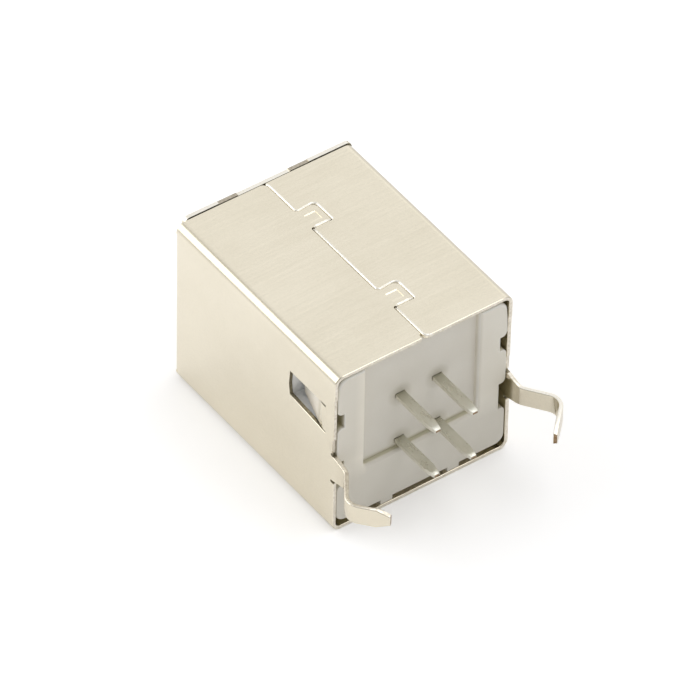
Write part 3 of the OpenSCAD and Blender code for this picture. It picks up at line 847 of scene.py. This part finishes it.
def make_housing(*finishes):
    """The moulding, with the frame around its recess well rounded and its other edges softened."""
    bm = merged_copy("housing")

    def outer_edge(middle, one, two):
        return abs(middle.y - HOUSING_REAR) < CLOSE and max(one.normal.y, two.normal.y) > FACING

    def frame_edge(middle, one, two):
        return outer_edge(middle, one, two) and abs(middle.x) < FRAME_HALF and middle.z > FRAME_FOOT

    def frame_top(middle, one, two):
        return outer_edge(middle, one, two) and middle.z > FRAME_TOP and abs(middle.x) > FRAME_TOP_SIDE

    def other(middle, one, two):
        return middle.y < RECESS_FLOOR - CLOSE

    eased = round_edges(bm, FRAME_ROUND, ROLL_STEPS, frame_edge)
    eased += round_edges(bm, FRAME_TOP_ROUND, ROLL_STEPS, frame_top)
    eased += round_edges(bm, REAR_EASE, RIM_STEPS, outer_edge)
    # Rounded frame edges above the bar take the paler edge plastic, as painted light
    for face in eased:
        if face.is_valid and face.calc_center_median().z > PALE_ABOVE:
            face.material_index = PALE_EDGE
    round_edges(bm, HOUSING_EASE, EASE_STEPS, other)
    stands_for(finish_mesh("housing_skin", bm), "housing", "grey_moulding", *finishes)


def make_contacts(*finishes):
    """Four contacts with eased edges, duller sides and bare ends."""
    for number in (1, 2, 3, 4):
        node = "contact_%d" % number
        bm = merged_copy(node)
        round_edges(bm, CONTACT_EASE, EASE_STEPS, lambda middle, one, two: True)
        bm.normal_update()
        for face in bm.faces:
            if abs(face.normal.x) > CUT_SQUARE:
                face.material_index = SHEARED_SIDE
            if face.normal.y > CUT_SQUARE and face.calc_center_median().y > TAIL_END - 2 * CLOSE:
                face.material_index = BARE_TIP
        stands_for(finish_mesh(node + "_strip", bm), node, "contact_strip", *finishes)


def make_floor():
    """A pale table top that keeps the shadow and reads as white to the camera."""
    bm = bmesh.new()
    bmesh.ops.create_grid(bm, x_segments=1, y_segments=1, size=TABLE_HALF)
    mesh = bpy.data.meshes.new("table_top")
    bm.to_mesh(mesh)
    bm.free()
    floor = bpy.data.objects.new("table_top", mesh)
    bpy.context.scene.collection.objects.link(floor)
    material = bpy.data.materials.new("pale_paper")
    m = Nodes(material)
    m.tree.nodes.clear()
    paper = m.add("ShaderNodeBsdfDiffuse")
    paper.inputs["Color"].default_value = PAPER
    glow = m.add("ShaderNodeEmission")
    glow.inputs["Color"].default_value = PAPER_GLOW
    path = m.add("ShaderNodeLightPath")
    seen = m.times(path.outputs["Is Camera Ray"], SEEN_GLOW)
    lift = m.maths("MULTIPLY_ADD", path.outputs["Is Glossy Ray"], MIRRORED_GLOW, seen)
    m.link(lift, glow.inputs["Strength"])
    both = m.add("ShaderNodeAddShader")
    m.link(paper.outputs["BSDF"], both.inputs[0])
    m.link(glow.outputs["Emission"], both.inputs[1])
    m.link(both.outputs["Shader"], m.add("ShaderNodeOutputMaterial").inputs["Surface"])
    mesh.materials.append(material)


def add_lamp(name, toward, width, height, radiance):
    """A flat soft lamp in a direction from the part, turned to face it."""
    lamp = bpy.data.lights.new(name, "AREA")
    lamp.shape = "RECTANGLE"
    lamp.size = width
    lamp.size_y = height
    lamp.energy = radiance * math.pi * width * height
    holder = bpy.data.objects.new(name, lamp)
    bpy.context.scene.collection.objects.link(holder)
    place = Vector(toward).normalized() * LAMP_DISTANCE
    holder.location = place
    holder.rotation_euler = place.to_track_quat("Z", "Y").to_euler()


def make_light():
    """A white tent that is brighter on its far side, with a large lamp on the left and one overhead."""
    world = bpy.data.worlds.new("white_tent")
    bpy.context.scene.world = world
    m = Nodes(world)
    where = m.add("ShaderNodeTexCoord")
    along = m.add("ShaderNodeVectorMath", operation="DOT_PRODUCT")
    m.link(where.outputs["Generated"], along.inputs[0])
    along.inputs[1].default_value = FAR_SIDE
    across_tent = m.maths("MULTIPLY_ADD", along.outputs["Value"], 0.5, 0.5)
    tent = m.ramp(across_tent, [(at, (level, level, level)) for at, level in TENT])
    path = m.add("ShaderNodeLightPath")
    seen = m.mix(path.outputs["Is Camera Ray"], tent, WHITE)
    m.link(seen, m.tree.nodes["Background"].inputs["Color"])
    add_lamp("left_lamp", (0.56, -0.60, 0.40), width=0.55, height=0.50, radiance=1.95)
    add_lamp("overhead_lamp", (-0.34, 0.20, 0.92), width=0.56, height=0.32, radiance=1.55)


def make_camera():
    data = bpy.data.cameras.new("camera")
    data.lens = CAMERA_LENS
    data.sensor_width = CAMERA_SENSOR
    data.clip_start = CAMERA_NEAR
    camera = bpy.data.objects.new("camera", data)
    turn = Matrix((CAMERA_RIGHT, CAMERA_UP, CAMERA_BACK)).transposed()
    camera.matrix_world = Matrix.Translation(CAMERA_PLACE) @ turn.to_4x4()
    bpy.context.scene.collection.objects.link(camera)
    bpy.context.scene.camera = camera


bare = bare_end()
make_shell(nickel_plate(), burnished_edge(), bare, torn_scar(), sheared_edge(), punched_wall_shade())
make_housing(grey_moulding(), moulding_edge())
make_contacts(contact_strip(), sheared_tin(), bare)
make_floor()
make_light()
make_camera()
bpy.context.scene.view_settings.view_transform = "Standard"
